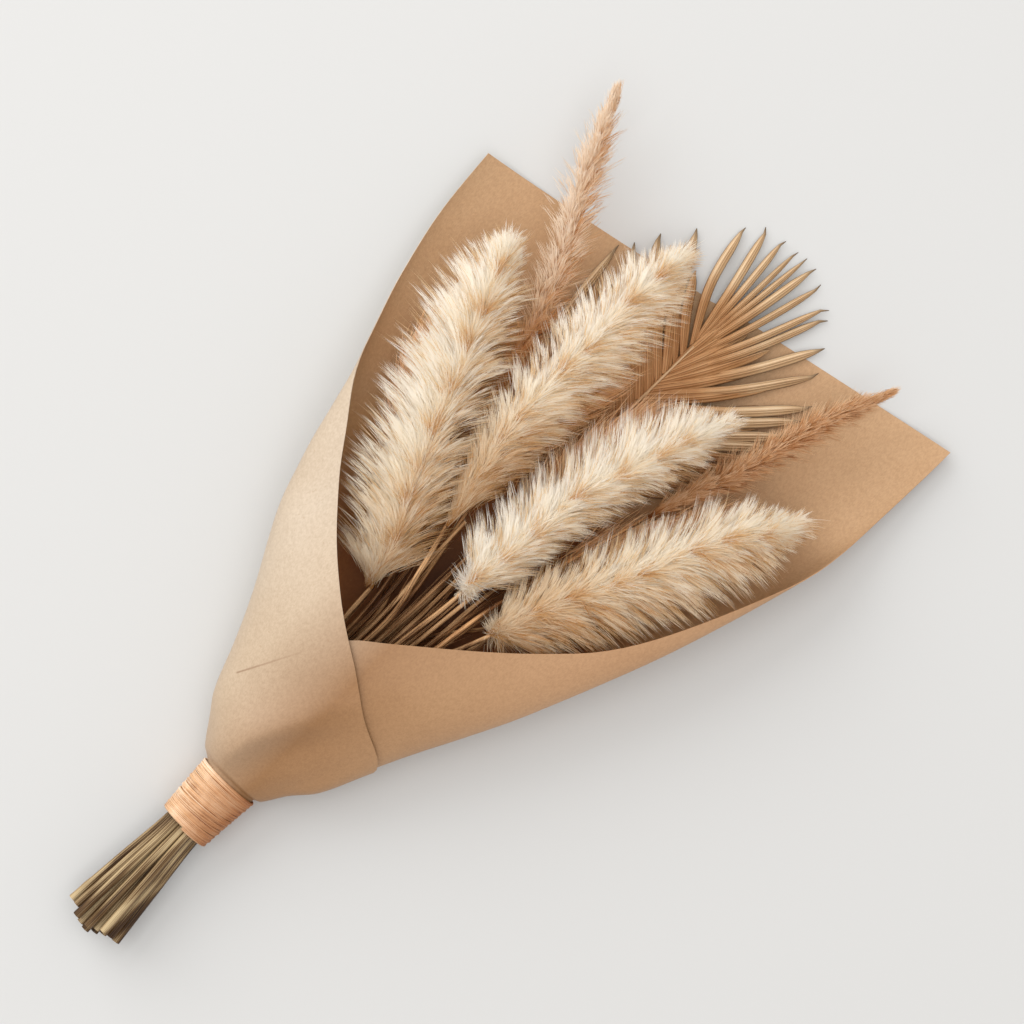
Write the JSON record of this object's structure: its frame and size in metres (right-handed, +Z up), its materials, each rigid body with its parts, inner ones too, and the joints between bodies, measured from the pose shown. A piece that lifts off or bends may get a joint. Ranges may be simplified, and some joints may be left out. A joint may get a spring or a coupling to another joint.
{
  "type": "bundle of pampas grass",
  "caption": "Dried bouquet of cream pampas plumes, blush reed plumes, brown grass and a pleated palm leaf, laid in a folded kraft paper wrap tied with raffia.",
  "frame": {"origin": "on the surface that the bundle rests on, under the middle of its length, at the flat underside of the paper", "axes": "+Y along the bundle from the cut ends to the plumes, +Z up, +X to the right seen from above"},
  "size_m": [0.2718, 0.4943, 0.0634],
  "materials": {
    "kraft_paper": "matte, finely fibrous",
    "raffia": "dry fibre, faint sheen",
    "palm_leaf": "dry ribbed leaf",
    "cream_plume": "silky hair",
    "blush_plume": "feathery hair",
    "brown_grass": "dry grass",
    "straw_stem": "dry straw, satin"
  },
  "bodies": {
    "root": {"paper_wrap": "kraft_paper", "raffia_tie": "raffia", "palm_leaf": "palm_leaf", "cream_plume_a": "cream_plume", "cream_plume_b": "cream_plume", "cream_plume_c": "cream_plume", "cream_plume_d": "cream_plume", "blush_plume_e": "blush_plume", "blush_plume_f": "blush_plume", "brown_grass_left": "brown_grass", "brown_grass_left_middle": "brown_grass", "brown_grass_middle": "brown_grass", "brown_grass_right_middle": "brown_grass", "brown_grass_right": "brown_grass", "stem_of_cream_plume_a": "straw_stem", "stem_of_cream_plume_b": "straw_stem", "stem_of_cream_plume_c": "straw_stem", "stem_of_cream_plume_d": "straw_stem", "stem_of_blush_plume_e": "straw_stem", "stem_of_blush_plume_f": "straw_stem", "stem_of_palm_leaf": "straw_stem", "bare_stalk_1": "straw_stem", "bare_stalk_2": "straw_stem", "bare_stalk_3": "straw_stem", "bare_stalk_4": "straw_stem", "bare_stalk_5": "straw_stem", "bare_stalk_6": "straw_stem", "bare_stalk_7": "straw_stem"}
  },
  "joints": []
}
